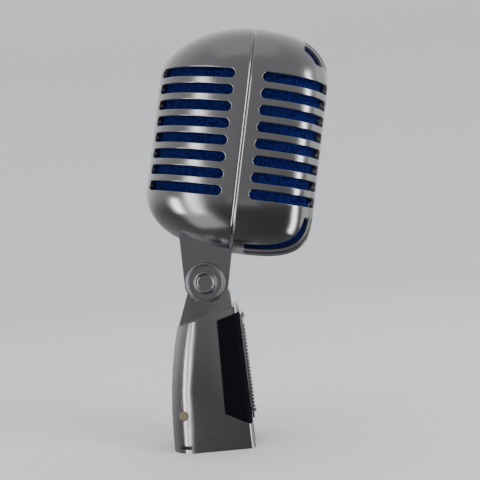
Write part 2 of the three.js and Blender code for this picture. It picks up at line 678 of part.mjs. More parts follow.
function headInside() {
  const inside = new THREE.Group();
  inside.position.set(0, -HEAD_AHEAD, HEAD_ABOVE);
  inside.add(piece('front_grille_shell', frontShell(), 'satin'));
  inside.add(piece('rear_grille_shell', rearShell(), 'satin'));
  inside.add(piece('front_foam_liner', foamLiner('front'), 'foam'));
  inside.add(piece('rear_foam_liner', foamLiner('rear'), 'foam'));
  for (const [place, up] of Object.entries(SHELL_SCREWS)) {
    inside.add(piece(`shell_screw_${place}`, shellScrew(up), 'steel'));
  }
  for (const [place, ahead] of Object.entries(YOKE_SCREWS)) {
    inside.add(piece(`chassis_post_${place}`, standPost(ahead), 'steel'));
  }
  inside.add(piece('chassis_plate', chassisPlate(), 'steel'));
  for (const [side, place] of [[-1, 'left'], [1, 'right']]) {
    for (const [ahead, end] of [[10.6, 'front'], [-12, 'rear']]) {
      const mount = post(MOUNT.radius, side * MOUNT.half, ahead, MOUNT.low, MOUNT.high, 14);
      inside.add(piece(`shock_mount_${end}_${place}`, mount, 'rubber'));
    }
  }
  inside.add(piece('motor_shelf', block([-SHELF.half, SHELF.rear, SHELF.low],
    [SHELF.half, SHELF.front, SHELF.high]), 'steel'));
  inside.add(piece('pole_frame', poleFrame(), 'steel'));
  inside.add(piece('magnet_left', block([-MAGNET.outer, -MAGNET.half, MAGNET.low],
    [-MAGNET.inner, MAGNET.half, MAGNET.high]), 'magnet'));
  inside.add(piece('magnet_right', block([MAGNET.inner, -MAGNET.half, MAGNET.low],
    [MAGNET.outer, MAGNET.half, MAGNET.high]), 'magnet'));
  inside.add(piece('ribbon_foil', ribbonFoil(), 'foil'));
  for (const [end, low] of [['bottom', MAGNET.low], ['top', MAGNET.high - CLAMP.tall]]) {
    inside.add(piece(`ribbon_clamp_block_${end}`, clampBlock(low), 'plastic'));
    inside.add(piece(`ribbon_clamp_bar_${end}`, clampBar(low), 'brass'));
    inside.add(piece(`ribbon_clamp_screw_${end}_left`, clampScrew(low, -4), 'brass'));
    inside.add(piece(`ribbon_clamp_screw_${end}_right`, clampScrew(low, 4), 'brass'));
  }
  inside.add(piece('transformer_core', transformerCore(), 'magnet'));
  inside.add(piece('transformer_coil', transformerCoil(), 'copper'));
  inside.add(piece('head_lead', lead([
    [-12.2, -13, -20], [-13.2, -11, -25], [-13.3, -7.4, -31.6], [-10.6, -6.4, -34],
    [-6.6, -6.6, -35.2], [-5, -7.4, -38], [-3.2, -8.6, -41], [-0.6, -9.2, -43], [0, -9.2, -45.5],
  ], 0.8), 'rubber'));
  return inside;
}

function head() {
  const group = new THREE.Group();
  group.position.set(0, -PIVOT_AHEAD, PIVOT_ABOVE);
  group.rotation.x = THREE.MathUtils.degToRad(TILT_DEG);
  group.add(headInside());
  group.add(piece('swivel_yoke', swivelYoke(), 'dark_satin'));
  for (const [place, ahead] of Object.entries(YOKE_SCREWS)) {
    group.add(piece(`yoke_screw_${place}`, yokeScrew(ahead), 'steel'));
  }
  for (const [side, place] of [[-1, 'left'], [1, 'right']]) {
    group.add(piece(`pivot_cap_${place}`, pivotCap(side), 'satin'));
    group.add(piece(`friction_washer_${place}`, washer(side), 'plastic'));
  }
  group.add(piece('pivot_bolt', axle(BOLT_R, -CHEEK_OUT + 0.3, CHEEK_OUT - 0.3, 0, 0, 24), 'steel'));
  return group;
}

function base() {
  const group = new THREE.Group();
  group.add(piece('base_housing', baseHousing(), 'dark_satin'));
  group.add(piece('base_front_cover', frontCover(), 'black'));
  group.add(piece('ridged_front_plate', ridgedPlate(), 'satin'));
  plateScrewHeights.forEach((up, index) => {
    group.add(piece(`plate_screw_${index === 0 ? 'bottom' : 'top'}`, plateScrew(up), 'satin'));
  });
  group.add(piece('thread_bush', threadBush(), 'steel'));
  group.add(piece('socket_insert', socketInsert(), 'black'));
  pinPlaces.forEach(([across, ahead], index) => {
    group.add(piece(`socket_pin_${index + 1}`, post(PIN_R, across, ahead, 2.6, XLR_BACK + 2.2, 12), 'brass'));
  });
  group.add(piece('socket_set_screw', setScrew(), 'brass'));
  group.add(piece('base_lead', lead([
    [0, -8.4, 23], [0, -7.4, 28], [2, -5, 36], [0.6, -3.6, 43], [0, -3.2, 48], [0, -3.2, 54],
  ], 1.1), 'rubber'));
  return group;
}

const group = new THREE.Group();
group.position.set(0, THREAD_AHEAD, -SEAT_DEPTH);
group.add(base());
group.add(head());

export default group;
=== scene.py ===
"""Looks of a slotted ribbon microphone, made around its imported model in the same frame.

The head's two grille shells and their foam are made here. Their form is worked out in
millimetres from the head's centre (across, ahead, up) and placed by head_place(). Every other
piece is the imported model's own node, dressed with a finish and rounded edges. Every mesh ends
in metres in the row's frame.
"""
import math

import bmesh
import bpy
import numpy as np
from mathutils import Matrix, Vector, geometry


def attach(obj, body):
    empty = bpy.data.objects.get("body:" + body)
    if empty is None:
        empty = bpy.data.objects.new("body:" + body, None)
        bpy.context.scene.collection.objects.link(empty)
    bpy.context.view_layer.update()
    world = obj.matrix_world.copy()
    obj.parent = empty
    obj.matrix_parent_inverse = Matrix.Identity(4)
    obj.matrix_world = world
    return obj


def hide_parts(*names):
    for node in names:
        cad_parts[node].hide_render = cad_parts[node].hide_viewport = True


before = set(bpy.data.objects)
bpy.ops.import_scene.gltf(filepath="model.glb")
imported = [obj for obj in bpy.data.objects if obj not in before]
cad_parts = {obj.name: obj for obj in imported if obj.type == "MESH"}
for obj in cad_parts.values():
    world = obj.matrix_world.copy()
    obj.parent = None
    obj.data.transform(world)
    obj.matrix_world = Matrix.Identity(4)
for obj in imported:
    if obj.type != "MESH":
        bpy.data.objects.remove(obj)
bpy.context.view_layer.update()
MM = 0.001

# ---------- sizes, in millimetres ----------
TILT = math.radians(12.0)
HEAD_AHEAD = 7.2          # the head's centre from the pivot, before the tilt
HEAD_ABOVE = 67.3
SEAM = 1.9                # the seam's plane, ahead of the head's centre
SEAM_GAP = 0.15           # from that plane to each shell's edge
HEAD_TOP = 53.0
HEAD_BOTTOM = 52.9
WALL = 2.4
SQUARENESS = {"front": 2.8, "rear": 1.85}       # power of each half's level outline
REACH = {                 # full reach, then (height where it starts to close, power) above and below
    "front": (37.0, (25.0, 2.6), (29.0, 3.5)),
    "rear": (42.4, (25.0, 1.88), (27.0, 2.2)),
    "side": (28.0, (20.0, 2.2), (26.0, 2.4)),
}
SLOT_COUNT = 8
SLOT_PITCH = 7.45
SLOT_TOP = 26.2
SLOT_HEIGHT = 4.3
SLOT_FROM_SEAM = {"front": 5.7, "rear": 6.5}
BAND = {"front": 11.0, "rear": 7.0}             # half of the plain band between the slots' ends
FIN_PITCH = 5.6
FIN_SLOTS = [FIN_PITCH * number for number in range(-3, 4)]
FIN_HALF = 1.95
FIN_CORNER = 0.9
FIN_FROM_SEAM = {"low": 6.0, "high": 23.0}
FIN_START = {"high": 36.0, "low": -33.0}        # height of each one's end on the front face
SHELL_SCREWS = {"upper": 37.5, "lower": -34.0}
SCREW_HOLE_R = 3.2
RIM = 0.42                # rounding of every slot's rim
RIM_STEPS = 4
SEAM_EDGE = 0.14          # how far the outside sinks along the seam's edges
SHELL_SPACING = 1.4       # between the points of a shell's surface
FOAM_SPACING = 0.9
FOAM_DEPTH = 2.95         # the foam's outside below the head's outside
FOAM_THICK = 3.2
FOAM_DENTS = {"broad": 0.10, "fine": 0.08}
PIVOT_AHEAD = 2.8
PIVOT_ABOVE = 76.3
SEAT_DEPTH = 9.7
THREAD_AHEAD = 8.9
PIVOT = np.array((0.0, THREAD_AHEAD - PIVOT_AHEAD, PIVOT_ABOVE - SEAT_DEPTH)) * MM

# ---------- how finely the form is followed ----------
PROFILE_SAMPLES = 6001
CUT_SAMPLES = 2500
CUT_OVERLAP = 5.0         # how far an upright cut is followed past its slot's end
CUT_NEAREST = 1.5         # how near the seam it is followed
SLOPE_STEP = 0.0002       # share of the layout over which a slope is measured
NEAR_END = 0.000001       # share of the layout that counts as its very end
TINY = 1e-6               # keeps a division off zero
SLOT_END_POINTS = 15
SLOT_SIDE_POINTS = 24
FIN_CORNER_POINTS = 5
FIN_SIDE_POINTS = 24
SCREW_HOLE_STEP = 12      # degrees
GRID_CLEARANCE = 0.55     # of the spacing, between a surface point and a hole's edge
INSIDE_FACES = 1          # the triangulation's mode that keeps what lies inside its outlines
SAME_PLACE = 1e-7
MERGE_DIGITS = 5          # of a millimetre, to which points that coincide agree
SEAM_LEAN = {"out": 0.75, "seam": 0.65}   # how the shading turns over at the seam's edges


# ---------- placing ----------
def head_place(points):
    """Head-centre (across, ahead, up) in millimetres to the row's frame in metres."""
    points = np.asarray(points, float)
    y = -points[..., 1] - HEAD_AHEAD
    z = points[..., 2] + HEAD_ABOVE
    cos, sin = math.cos(TILT), math.sin(TILT)
    placed = np.stack([points[..., 0], y * cos - z * sin, y * sin + z * cos], -1)
    return placed * MM + PIVOT


def head_turn(vectors):
    """Turns (across, ahead, up) directions of the head into the row's frame."""
    y = -vectors[..., 1]
    z = vectors[..., 2]
    cos, sin = math.cos(TILT), math.sin(TILT)
    return np.stack([vectors[..., 0], y * cos - z * sin, y * sin + z * cos], -1)


def along_curve(points):
    """Distance run along a row of points, from its first."""
    steps = np.linalg.norm(np.diff(points, axis=0), axis=1)
    return np.concatenate([[0], np.cumsum(steps)])


# ---------- the head's form ----------
def reach(part, up):
    """How far the head's outside reaches at a height: to the front, the rear or a side."""
    size, (start_top, power_top), (start_low, power_low) = REACH[part]
    up = np.asarray(up, float)
    start = np.where(up >= 0, start_top, start_low)
    power = np.where(up >= 0, power_top, power_low)
    height = np.where(up >= 0, HEAD_TOP, HEAD_BOTTOM)
    along = np.clip((np.abs(up) - start) / (height - start), 0, 1)
    return size * (1 - along ** power) ** (1 / power)


def at_end(share):
    """Which shares of the layout are at its very start or end."""
    return (share < NEAR_END) | (share > 1 - NEAR_END)


class HalfForm:
    """One half of the head's outside, laid out on (s, q): s runs round it, q runs up it."""

    def __init__(self, half):
        self.half = half
        self.turn = 1 if half == "front" else -1
        self.power = 2 / SQUARENESS[half]
        self.phi = np.linspace(-math.pi / 2, math.pi / 2, PROFILE_SAMPLES)
        run = along_curve(self.at_angle(self.phi, np.zeros_like(self.phi)))
        self.round_length = run[-1]
        self.s_of_phi = run / run[-1]
        swing = np.sin(self.phi)
        self.up = np.where(swing > 0, HEAD_TOP, HEAD_BOTTOM) * swing
        run = along_curve(np.stack([reach(half, self.up), self.up], -1))
        self.rise_length = run[-1]
        self.q_of_up = run / run[-1]

    def at_angle(self, phi, up):
        """The outside at an angle round the seam's middle, 0 straight out, and a height."""
        across = reach("side", up) * np.sign(phi) * np.abs(np.sin(phi)) ** self.power
        depth = np.clip(np.cos(phi), 0, 1) ** self.power
        past_gap = np.maximum(reach(self.half, up) - SEAM_GAP, 0)
        ahead = SEAM + self.turn * (SEAM_GAP + past_gap * depth)
        return np.stack([across, ahead, up], -1)

    def point(self, s, q):
        phi = np.interp(s, self.s_of_phi, self.phi)
        up = np.interp(q, self.q_of_up, self.up)
        return self.at_angle(phi, up)

    def normal(self, s, q):
        """The outward direction, from the slopes both ways; straight up or down at a pole."""
        s_before, s_after = np.clip(s - SLOPE_STEP, 0, 1), np.clip(s + SLOPE_STEP, 0, 1)
        q_before, q_after = np.clip(q - SLOPE_STEP, 0, 1), np.clip(q + SLOPE_STEP, 0, 1)
        round_way = self.point(s_after, q) - self.point(s_before, q)
        up_way = self.point(s, q_after) - self.point(s, q_before)
        out = np.cross(round_way, up_way)
        size = np.linalg.norm(out, axis=-1, keepdims=True)
        out = out / np.maximum(size, TINY * TINY)
        away = self.point(s, q) - np.array([0, SEAM, 0])
        out *= np.sign(np.sum(out * away, -1, keepdims=True))
        pole = at_end(q)
        out[pole] = np.stack([0 * q, 0 * q, np.sign(q - 0.5)], -1)[pole]
        return out

    def from_ahead(self, side, ahead, up):
        """(s, q) of the point at a distance from the seam and a height, on one side."""
        depth = np.clip(ahead / np.maximum(reach(self.half, up), TINY), 0, 1)
        phi = side * np.arccos(depth ** (1 / self.power))
        return self.to_layout(phi, up)

    def from_across(self, across, up):
        """(s, q) of the point at a distance across and a height."""
        share = np.clip(np.abs(across) / np.maximum(reach("side", up), TINY), 0, 1)
        return self.to_layout(np.sign(across) * np.arcsin(share ** (1 / self.power)), up)

    def to_layout(self, phi, up):
        return np.interp(phi, self.phi, self.s_of_phi), np.interp(up, self.up, self.q_of_up)

    def upright_cut(self, across, end):
        """Where the plane at that distance across cuts the half: run, ahead, up."""
        turn, height = (1, HEAD_TOP) if end == "high" else (-1, HEAD_BOTTOM)
        start = FIN_START[end] * turn
        first = math.asin((start - CUT_OVERLAP) / height)
        up = turn * height * np.sin(np.linspace(first, math.pi / 2, CUT_SAMPLES))
        share = np.clip(np.abs(across) / np.maximum(reach("side", up), TINY), 0, 1)
        ahead = reach(self.half, up) * (1 - share ** (2 / self.power)) ** (self.power / 2)
        run = along_curve(np.stack([ahead, up], -1))
        run -= np.interp(start, up * turn, run)
        keep = ahead > CUT_NEAREST
        return run[keep], ahead[keep], up[keep]


def inner_shares(count):
    """Even shares of a line for that many points between its ends."""
    return np.linspace(0, 1, count + 2)[1:-1]


def side_between(first, last):
    """A slot's straight side between two of the layout's places, without the ends."""
    return first[:, None] + (last - first)[:, None] * inner_shares(SLOT_SIDE_POINTS)


def slot_outline(form, up, side):
    """A level slot: round end near the seam, then round the half to its other end."""
    radius = SLOT_HEIGHT / 2
    swing = np.radians(np.linspace(-90, 90, SLOT_END_POINTS))
    seam_middle = SLOT_FROM_SEAM[form.half] + radius

    def outline(offset):
        grown = radius + offset
        ahead = seam_middle - grown * np.cos(swing)
        height = up + grown * np.sin(swing)
        seam_end = np.array(form.from_ahead(side, ahead, height))
        across = side * (BAND[form.half] + radius - grown * np.cos(swing[::-1]))
        band_end = np.array(form.from_across(across, height[::-1]))
        top = side_between(seam_end[:, -1], band_end[:, 0])
        low = side_between(band_end[:, -1], seam_end[:, 0])
        return np.concatenate([seam_end, top, band_end, low], axis=1)

    return outline


def upright_length(cut, end):
    """How long an upright slot is along its cut."""
    run, ahead, _ = cut
    return np.interp(-FIN_FROM_SEAM[end], -ahead, run)


def rounded_bar(length, offset):
    """An upright slot laid flat, grown by an offset: (across, share of its length) pairs."""
    half = FIN_HALF + offset
    corner = FIN_CORNER + offset
    low, high = corner - offset, length + offset - corner
    quarter_turn = np.radians(np.linspace(0, 90, FIN_CORNER_POINTS))
    sides = inner_shares(FIN_SIDE_POINTS)
    across, along = [], []
    for quarter, (side, middle) in enumerate([(1, high), (-1, high), (-1, low), (1, low)]):
        angle = quarter_turn + quarter * math.pi / 2
        across.append(side * (half - corner) + corner * np.cos(angle))
        along.append(middle + corner * np.sin(angle))
        if side == -1 and middle == high:
            across.append(np.full(len(sides), -half))
            along.append(high - (high - low) * sides)
        if side == 1 and middle == low:
            across.append(np.full(len(sides), half))
            along.append(low + (high - low) * sides)
    return np.concatenate(across), np.concatenate(along) / length


def fin_outline(form, middle, end):
    """An upright slot from the front face over the head's corner."""
    length = upright_length(form.upright_cut(middle, end), end)

    def outline(offset):
        layout = []
        for across, share in zip(*rounded_bar(length, offset)):
            across += middle
            cut = form.upright_cut(across, end)
            run, cut_ahead, cut_up = cut
            along = share * upright_length(cut, end)
            up = np.interp(along, run, cut_up)
            ahead = np.interp(along, run, cut_ahead)
            side_share = abs(across) / reach("side", up)
            depth_share = ahead / reach(form.half, up)
            phi = math.atan2(side_share ** (1 / form.power), depth_share ** (1 / form.power))
            layout.append(form.to_layout(math.copysign(phi, across), up))
        return np.array(layout).T

    return outline


def screw_outline(form, up):
    """A round screw hole on the half's middle line."""
    swing = np.radians(np.arange(0, 360, SCREW_HOLE_STEP))
    middle = np.interp(up, form.up, form.q_of_up)

    def outline(offset):
        grown = SCREW_HOLE_R + offset
        q = middle + grown * np.sin(swing) / form.rise_length
        height = np.interp(q, form.q_of_up, form.up)
        return form.from_across(grown * np.cos(swing), height)

    return outline


def inside_outline(points, polygon):
    """Which points lie inside a closed outline."""
    inside = np.zeros(len(points), bool)
    x, y = points[:, 0], points[:, 1]
    before = polygon[-1]
    for corner in polygon:
        crosses = (corner[1] > y) != (before[1] > y)
        rise = before[1] - corner[1]
        rise = rise if abs(rise) > TINY * TINY else TINY * TINY
        at = (before[0] - corner[0]) * (y - corner[1]) / rise + corner[0]
        inside ^= crosses & (x < at)
        before = corner
    return inside


def winds_left(loop):
    """Whether a closed outline runs anticlockwise."""
    after = np.roll(loop, -1, axis=0)
    return np.sum(loop[:, 0] * after[:, 1] - after[:, 0] * loop[:, 1]) > 0


def layout_border(across, upward):
    """The layout's border, anticlockwise from its first corner, each corner once."""
    low = [(s, 0) for s in across[:-1]]
    right = [(1, q) for q in upward[:-1]]
    high = [(s, 1) for s in across[:0:-1]]
    left = [(0, q) for q in upward[:0:-1]]
    return np.array(low + right + high + left, float)


def clear_of(grid, loops, distance):
    """The grid's points that lie outside every loop and at least that far from its corners."""
    keep = np.ones(len(grid), bool)
    for loop in loops:
        keep &= ~inside_outline(grid, loop)
        for corner in loop:
            keep &= np.hypot(*(grid - corner).T) > distance
    return grid[keep]


def layout_mesh(form, outlines, spacing):
    """Triangles of the half's layout, holes left out: points, triangles, hole loops, border."""
    scale = np.array([form.round_length, form.rise_length])
    across = np.linspace(0, 1, int(scale[0] / spacing) + 1)
    upward = np.linspace(0, 1, int(scale[1] / spacing) + 1)
    edge = layout_border(across, upward) * scale
    loops = [np.stack(outline(RIM), -1) * scale for outline in outlines]
    grid = np.stack(np.meshgrid(across[1:-1], upward[1:-1]), -1).reshape(-1, 2) * scale
    grid = clear_of(grid, loops, spacing * GRID_CLEARANCE)
    points = np.concatenate([edge, *loops, grid])
    faces, start = [], 0
    for loop in [edge, *loops]:
        faces.append(list(range(start, start + len(loop))))
        start += len(loop)
    wound = [face if winds_left(points[face]) else face[::-1] for face in faces]
    made_points, _, made_faces, point_origins, _, face_origins = geometry.delaunay_2d_cdt(
        [Vector(point) for point in points], [], wound, INSIDE_FACES, SAME_PLACE, True)
    triangles = [face for face, owners in zip(made_faces, face_origins) if owners == [0]]
    made_index = {origin: index for index, origins in enumerate(point_origins) for origin in origins}
    border, *hole_loops = [[made_index[corner] for corner in face] for face in faces]
    layout = np.array([tuple(point) for point in made_points]) / scale
    return layout, triangles, hole_loops, border


def rim_and_wall(form, outline, inner_depth):
    """Rings down a hole's rounded rim and its wall, each as points and normals."""
    away = form.point(*outline(RIM)) - form.point(*outline(0))
    away /= np.linalg.norm(away, axis=1, keepdims=True)
    rings = []
    for step in range(1, RIM_STEPS + 2):
        turn = min(step / RIM_STEPS, 1) * math.pi / 2
        flat = outline(RIM * (1 - math.sin(turn)))
        down = RIM * (1 - math.cos(turn)) if step <= RIM_STEPS else inner_depth - RIM
        out = form.normal(*flat)
        normals = out * math.cos(turn) - away * math.sin(turn)
        rings.append((form.point(*flat) - out * down, normals))
    return rings


def faces_between(ring, lower):
    """Four-sided faces between two closed rings with as many corners."""
    return list(zip(ring, ring[1:] + ring[:1], lower[1:] + lower[:1], lower))


def half_shell(form, outlines, spacing, outer_depth, inner_depth, noise=None):
    """A closed shell of one half: outside, inside, hole walls and seam faces, with normals."""
    layout, triangles, hole_loops, border = layout_mesh(form, outlines, spacing)
    s, q = np.clip(layout.T, 0, 1)
    place, out = form.point(s, q), form.normal(s, q)
    at_pole = at_end(q)
    at_seam = at_end(s) & ~at_pole
    depth = np.full(len(s), outer_depth)
    if noise is not None:
        depth += noise(place)
    depth[at_pole] = outer_depth
    depth[at_seam] += SEAM_EDGE
    outer_normal = out.copy()
    to_seam = np.array((0, -form.turn, 0))
    outer_normal[at_seam] = out[at_seam] * SEAM_LEAN["out"] + to_seam * SEAM_LEAN["seam"]
    count = len(s)
    points, normals = [place - out * depth[:, None], place - out * inner_depth], [outer_normal, -out]
    faces = [tuple(triangle) for triangle in triangles]
    faces += [(c + count, b + count, a + count) for a, b, c in triangles]
    total = 2 * count
    for outline, loop in zip(outlines, hole_loops):
        rings = [loop]
        for ring_points, ring_normals in rim_and_wall(form, outline, inner_depth):
            points.append(ring_points)
            normals.append(ring_normals)
            rings.append(list(range(total, total + len(loop))))
            total += len(loop)
        rings.append([index + count for index in loop])
        for ring, lower in zip(rings[:-1], rings[1:]):
            faces += faces_between(ring, lower)
    faces += faces_between(border, [corner + count for corner in border])
    return merged_poles(np.concatenate(points), np.concatenate(normals), faces)


def merged_poles(points, normals, faces):
    """Makes one point of points that coincide, as at the poles, and drops faces that vanish."""
    keys, kept = {}, []
    target = np.empty(len(points), int)
    for index, key in enumerate(map(tuple, np.round(points, MERGE_DIGITS))):
        if key not in keys:
            keys[key] = len(kept)
            kept.append(index)
        target[index] = keys[key]
    clean = []
    for face in faces:
        corners = tuple(dict.fromkeys(int(target[corner]) for corner in face))
        if len(corners) > 2:
            clean.append(corners)
    return points[kept], normals[kept], clean


# ---------- meshes ----------
def added(name, data):
    """A new object in the scene."""
    obj = bpy.data.objects.new(name, data)
    bpy.context.scene.collection.objects.link(obj)
    return obj


def smooth_mesh(name, vertices, faces, material):
    """A mesh with one finish and smooth shading."""
    mesh = bpy.data.meshes.new(name)
    mesh.from_pydata([tuple(map(float, vertex)) for vertex in vertices], [], faces)
    mesh.polygons.foreach_set("use_smooth", [True] * len(mesh.polygons))
    mesh.materials.append(material)
    return mesh


def closed_object(name, vertices, faces, material):
    """A new object from a closed mesh, with every face turned outwards."""
    mesh = smooth_mesh(name, vertices, faces, material)
    build = bmesh.new()
    build.from_mesh(mesh)
    bmesh.ops.recalc_face_normals(build, faces=build.faces)
    build.to_mesh(mesh)
    build.free()
    return added(name, mesh)


def finish_head_piece(obj, node):
    """Hangs a piece of the head on the head's body and hides the node that it replaces."""
    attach(obj, "head")
    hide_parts(node)


# ---------- materials ----------
def shader(name, colour, metallic, roughness, specular=0.5):
    """A new material, its node tree and its main shader."""
    material = bpy.data.materials.new(name)
    material.use_nodes = True
    tree = material.node_tree
    main = tree.nodes["Principled BSDF"]
    main.inputs["Base Color"].default_value = (*colour, 1)
    main.inputs["Metallic"].default_value = metallic
    main.inputs["Roughness"].default_value = roughness
    main.inputs["Specular IOR Level"].default_value = specular
    return material, tree, main


def object_place(tree):
    """Where a point is on its object, as a socket."""
    return tree.nodes.new("ShaderNodeTexCoord").outputs["Object"]


def noise_on(tree, scale, detail, stretch=(1, 1, 1)):
    """Noise over the object, as a socket."""
    mapping = tree.nodes.new("ShaderNodeMapping")
    mapping.inputs["Scale"].default_value = stretch
    noise = tree.nodes.new("ShaderNodeTexNoise")
    noise.inputs["Scale"].default_value = scale
    noise.inputs["Detail"].default_value = detail
    tree.links.new(object_place(tree), mapping.inputs["Vector"])
    tree.links.new(mapping.outputs["Vector"], noise.inputs["Vector"])
    return noise.outputs["Fac"]


NOISE_RANGE = (0.3, 0.7)  # where nearly all of the noise lies


def vary_roughness(tree, main, noise, low, high):
    """Lets the roughness follow the noise between two values."""
    span = tree.nodes.new("ShaderNodeMapRange")
    span.inputs["From Min"].default_value = NOISE_RANGE[0]
    span.inputs["From Max"].default_value = NOISE_RANGE[1]
    span.inputs["To Min"].default_value = low
    span.inputs["To Max"].default_value = high
    tree.links.new(noise, span.inputs["Value"])
    tree.links.new(span.outputs["Result"], main.inputs["Roughness"])


def bump_node(tree, height, strength, distance):
    """A bump that follows a height; distance is in metres."""
    bump = tree.nodes.new("ShaderNodeBump")
    bump.inputs["Strength"].default_value = strength
    bump.inputs["Distance"].default_value = distance
    tree.links.new(height, bump.inputs["Height"])
    return bump


def bumped(tree, main, height, strength, distance):
    """Puts a bump on the main shader and gives it back."""
    bump = bump_node(tree, height, strength, distance)
    tree.links.new(bump.outputs["Normal"], main.inputs["Normal"])
    return bump


GLOSS_PATCHES = {"scale": 45, "detail": 3}
BRUSHED_GRAIN = {"detail": 2, "strength": 0.15, "distance": 0.000015}
PLAIN_GRAIN = {"detail": 3, "strength": 0.3, "roughness_share": 0.15}


def brushed(name, colour, roughness, grain, stretch, spread):
    """Satin metal with fine grain along one way and slow changes of gloss."""
    material, tree, main = shader(name, colour, 1.0, roughness)
    slow = noise_on(tree, GLOSS_PATCHES["scale"], GLOSS_PATCHES["detail"])
    vary_roughness(tree, main, slow, roughness - spread, roughness + spread)
    fine = noise_on(tree, grain, BRUSHED_GRAIN["detail"], stretch)
    bumped(tree, main, fine, BRUSHED_GRAIN["strength"], BRUSHED_GRAIN["distance"])
    return material


def plain_grained(name, colour, metallic, roughness, grain=900, depth=0.00005, specular=0.5):
    """A finish with a fine even grain, for small and inner parts; depth is in metres."""
    material, tree, main = shader(name, colour, metallic, roughness, specular)
    noise = noise_on(tree, grain, PLAIN_GRAIN["detail"])
    low, high = 1 - PLAIN_GRAIN["roughness_share"], 1 + PLAIN_GRAIN["roughness_share"]
    vary_roughness(tree, main, noise, roughness * low, roughness * high)
    bumped(tree, main, noise, PLAIN_GRAIN["strength"], depth)
    return material


FOAM_TOP = {"place": 0.05, "colour": (0.010, 0.026, 0.24)}
# painted shade: the near-black blue painted between the foam's cells, where shade falls in its
# hollows
FOAM_PAINTED_SHADE = {"place": 0.75, "colour": (0.001, 0.003, 0.05)}
FOAM_CELLS = 1100
FOAM_CELL_DEPTH = 0.0003  # metres
FOAM_SHEEN = {"Sheen Weight": 0.05, "Sheen Tint": (0.2, 0.35, 1, 1)}


def foam_material():
    """Open-celled blue foam, with painted shade darkening it between the cells."""
    material, tree, main = shader(
        "blue_foam", FOAM_TOP["colour"], metallic=0.0, roughness=0.95, specular=0.15)
    cells = tree.nodes.new("ShaderNodeTexVoronoi")
    cells.inputs["Scale"].default_value = FOAM_CELLS
    tree.links.new(object_place(tree), cells.inputs["Vector"])
    # the colour runs from the foam's own blue at each cell to painted shade between the cells
    ramp = tree.nodes.new("ShaderNodeValToRGB")
    for element, shade in zip(ramp.color_ramp.elements, (FOAM_TOP, FOAM_PAINTED_SHADE)):
        element.position = shade["place"]
        element.color = (*shade["colour"], 1)
    tree.links.new(cells.outputs["Distance"], ramp.inputs["Fac"])
    tree.links.new(ramp.outputs["Color"], main.inputs["Base Color"])
    bumped(tree, main, cells.outputs["Distance"], strength=0.6, distance=FOAM_CELL_DEPTH)
    for name, value in FOAM_SHEEN.items():
        main.inputs[name].default_value = value
    return material


def worked_out(tree, operation, source, value):
    """A number worked out from a socket and a value, as a socket."""
    node = tree.nodes.new("ShaderNodeMath")
    node.operation = operation
    node.inputs[1].default_value = value
    tree.links.new(source, node.inputs[0])
    return node.outputs[0]


def crowned(material, start, fall):
    """Shades a flat face as if it fell away past a place along Y, as a polished casting does."""
    tree = material.node_tree
    grain = next(node for node in tree.nodes if node.type == "BUMP")
    split = tree.nodes.new("ShaderNodeSeparateXYZ")
    tree.links.new(object_place(tree), split.inputs["Vector"])
    past = worked_out(tree, "SUBTRACT", split.outputs["Y"], start)
    past = worked_out(tree, "MAXIMUM", past, 0)
    height = worked_out(tree, "MULTIPLY", worked_out(tree, "POWER", past, 2), -fall)
    crown = bump_node(tree, height, strength=1, distance=1)
    tree.links.new(crown.outputs["Normal"], grain.inputs["Normal"])


BRUSHED = {               # colour, roughness, grain, its stretch, spread of the roughness
    "satin_shell": ((0.66, 0.66, 0.67), 0.21, 260, (1, 1, 7), 0.035),
    "satin_swivel": ((0.58, 0.59, 0.61), 0.30, 260, (1, 1, 4), 0.06),
    "satin_base": ((0.66, 0.66, 0.66), 0.24, 900, (3, 3, 1), 0.04),
    "satin_plate": ((0.82, 0.82, 0.83), 0.2, 260, (1, 6, 1), 0.08),
}
PLAIN = {                 # colour, metallic, roughness
    "steel_parts": ((0.52, 0.53, 0.55), 1.0, 0.28),
    "magnet": ((0.30, 0.30, 0.31), 1.0, 0.45),
    "ribbon": ((0.80, 0.81, 0.83), 1.0, 0.22),
    "brass_parts": ((0.70, 0.58, 0.42), 0.8, 0.42),
    "copper_coil": ((0.62, 0.28, 0.14), 1.0, 0.34),
    "rubber_parts": ((0.02, 0.02, 0.02), 0.0, 0.75),
    "dark_plastic": ((0.015, 0.015, 0.016), 0.0, 0.42),
}
COVER = {
    "colour": (0.003, 0.004, 0.007), "metallic": 0.0, "roughness": 0.6,
    "grain": 500, "depth": 0.00008, "specular": 0.12,
}
CROWN = {"start": -0.004, "fall": 3.6}    # past that Y it drops by fall x distance squared

MATERIALS = {name: brushed(name, *look) for name, look in BRUSHED.items()}
MATERIALS |= {name: plain_grained(name, *look) for name, look in PLAIN.items()}
MATERIALS["black_cover"] = plain_grained("black_cover", **COVER)
MATERIALS["blue_foam"] = foam_material()
crowned(MATERIALS["satin_base"], **CROWN)


# ---------- the head ----------
def shell_outlines(form):
    """The holes of one half's shell."""
    heights = [SLOT_TOP - SLOT_PITCH * number for number in range(SLOT_COUNT)]
    outlines = [slot_outline(form, up, side) for up in heights for side in (-1, 1)]
    if form.half == "front":
        outlines += [fin_outline(form, middle, end) for middle in FIN_SLOTS for end in FIN_START]
    else:
        outlines += [screw_outline(form, up) for up in SHELL_SCREWS.values()]
    return outlines


def grille_shell(form):
    """One half's slotted shell, shaded with the form's own normals."""
    points, normals, faces = half_shell(form, shell_outlines(form), SHELL_SPACING, 0.0, WALL)
    obj = closed_object(f"{form.half}_grille", head_place(points), faces, MATERIALS["satin_shell"])
    normals = head_turn(normals)
    normals /= np.maximum(np.linalg.norm(normals, axis=1, keepdims=True), TINY)
    obj.data.normals_split_custom_set_from_vertices([tuple(normal) for normal in normals])
    finish_head_piece(obj, f"{form.half}_grille_shell")


